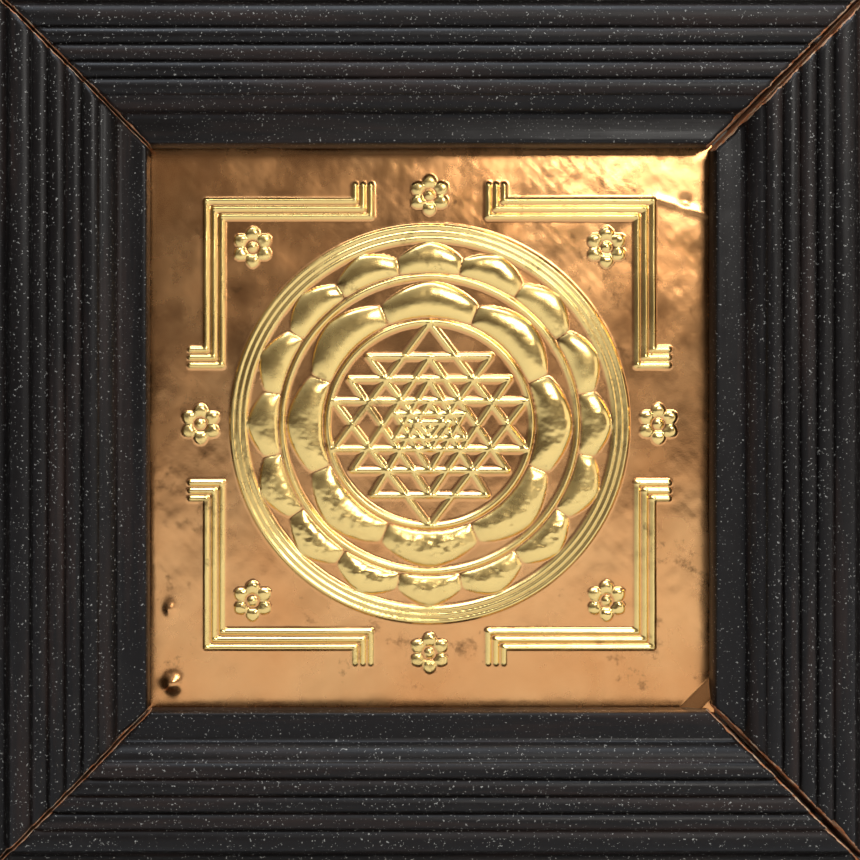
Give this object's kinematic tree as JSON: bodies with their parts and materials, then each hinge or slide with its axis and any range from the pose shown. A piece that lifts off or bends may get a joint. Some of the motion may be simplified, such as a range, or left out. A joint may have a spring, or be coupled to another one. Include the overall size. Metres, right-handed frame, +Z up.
{
  "type": "framed yantra plate",
  "caption": "Embossed copper shri yantra sheet in a small black reeded wooden frame, with a hanging ring on its back.",
  "frame": {"origin": "middle of the plaque's width and depth, at its bottom edge", "axes": "+Z up, +X to the right as seen from the front, the embossed face towards -Y"},
  "size_m": [0.119, 0.0182, 0.119],
  "materials": {
    "black_wood": "worn black paint over reddish wood",
    "gilded_copper": "polished embossed copper with gilt relief",
    "grey_card": "matte",
    "hardboard": "matte pressed board",
    "steel_wire": "dull drawn wire",
    "brass_plate": "plated sheet"
  },
  "bodies": {
    "plaque": {"rail_top": "black_wood", "rail_bottom": "black_wood", "rail_left": "black_wood", "rail_right": "black_wood", "yantra_sheet": "gilded_copper", "mount_card": "grey_card", "back_board": "hardboard", "corner_nail_top_left": "steel_wire", "corner_nail_top_right": "steel_wire", "corner_nail_bottom_right": "steel_wire", "corner_nail_bottom_left": "steel_wire", "backing_pin_bottom_left": "steel_wire", "backing_pin_bottom_right": "steel_wire", "backing_pin_right_lower": "steel_wire", "backing_pin_right_upper": "steel_wire", "backing_pin_top_right": "steel_wire", "backing_pin_top_left": "steel_wire", "backing_pin_left_upper": "steel_wire", "backing_pin_left_lower": "steel_wire", "hanger_nail_upper": "steel_wire", "hanger_nail_lower": "steel_wire", "hanger_strap": "brass_plate"},
    "ring": {"hanger_ring": "steel_wire"}
  },
  "joints": [
    {"name": "ring_swing", "type": "hinge", "parent": "plaque", "child": "ring", "pos_m": [0, 0.00715, 0.113], "axis": [1, 0, 0], "range_deg": [0, 180]}
  ]
}
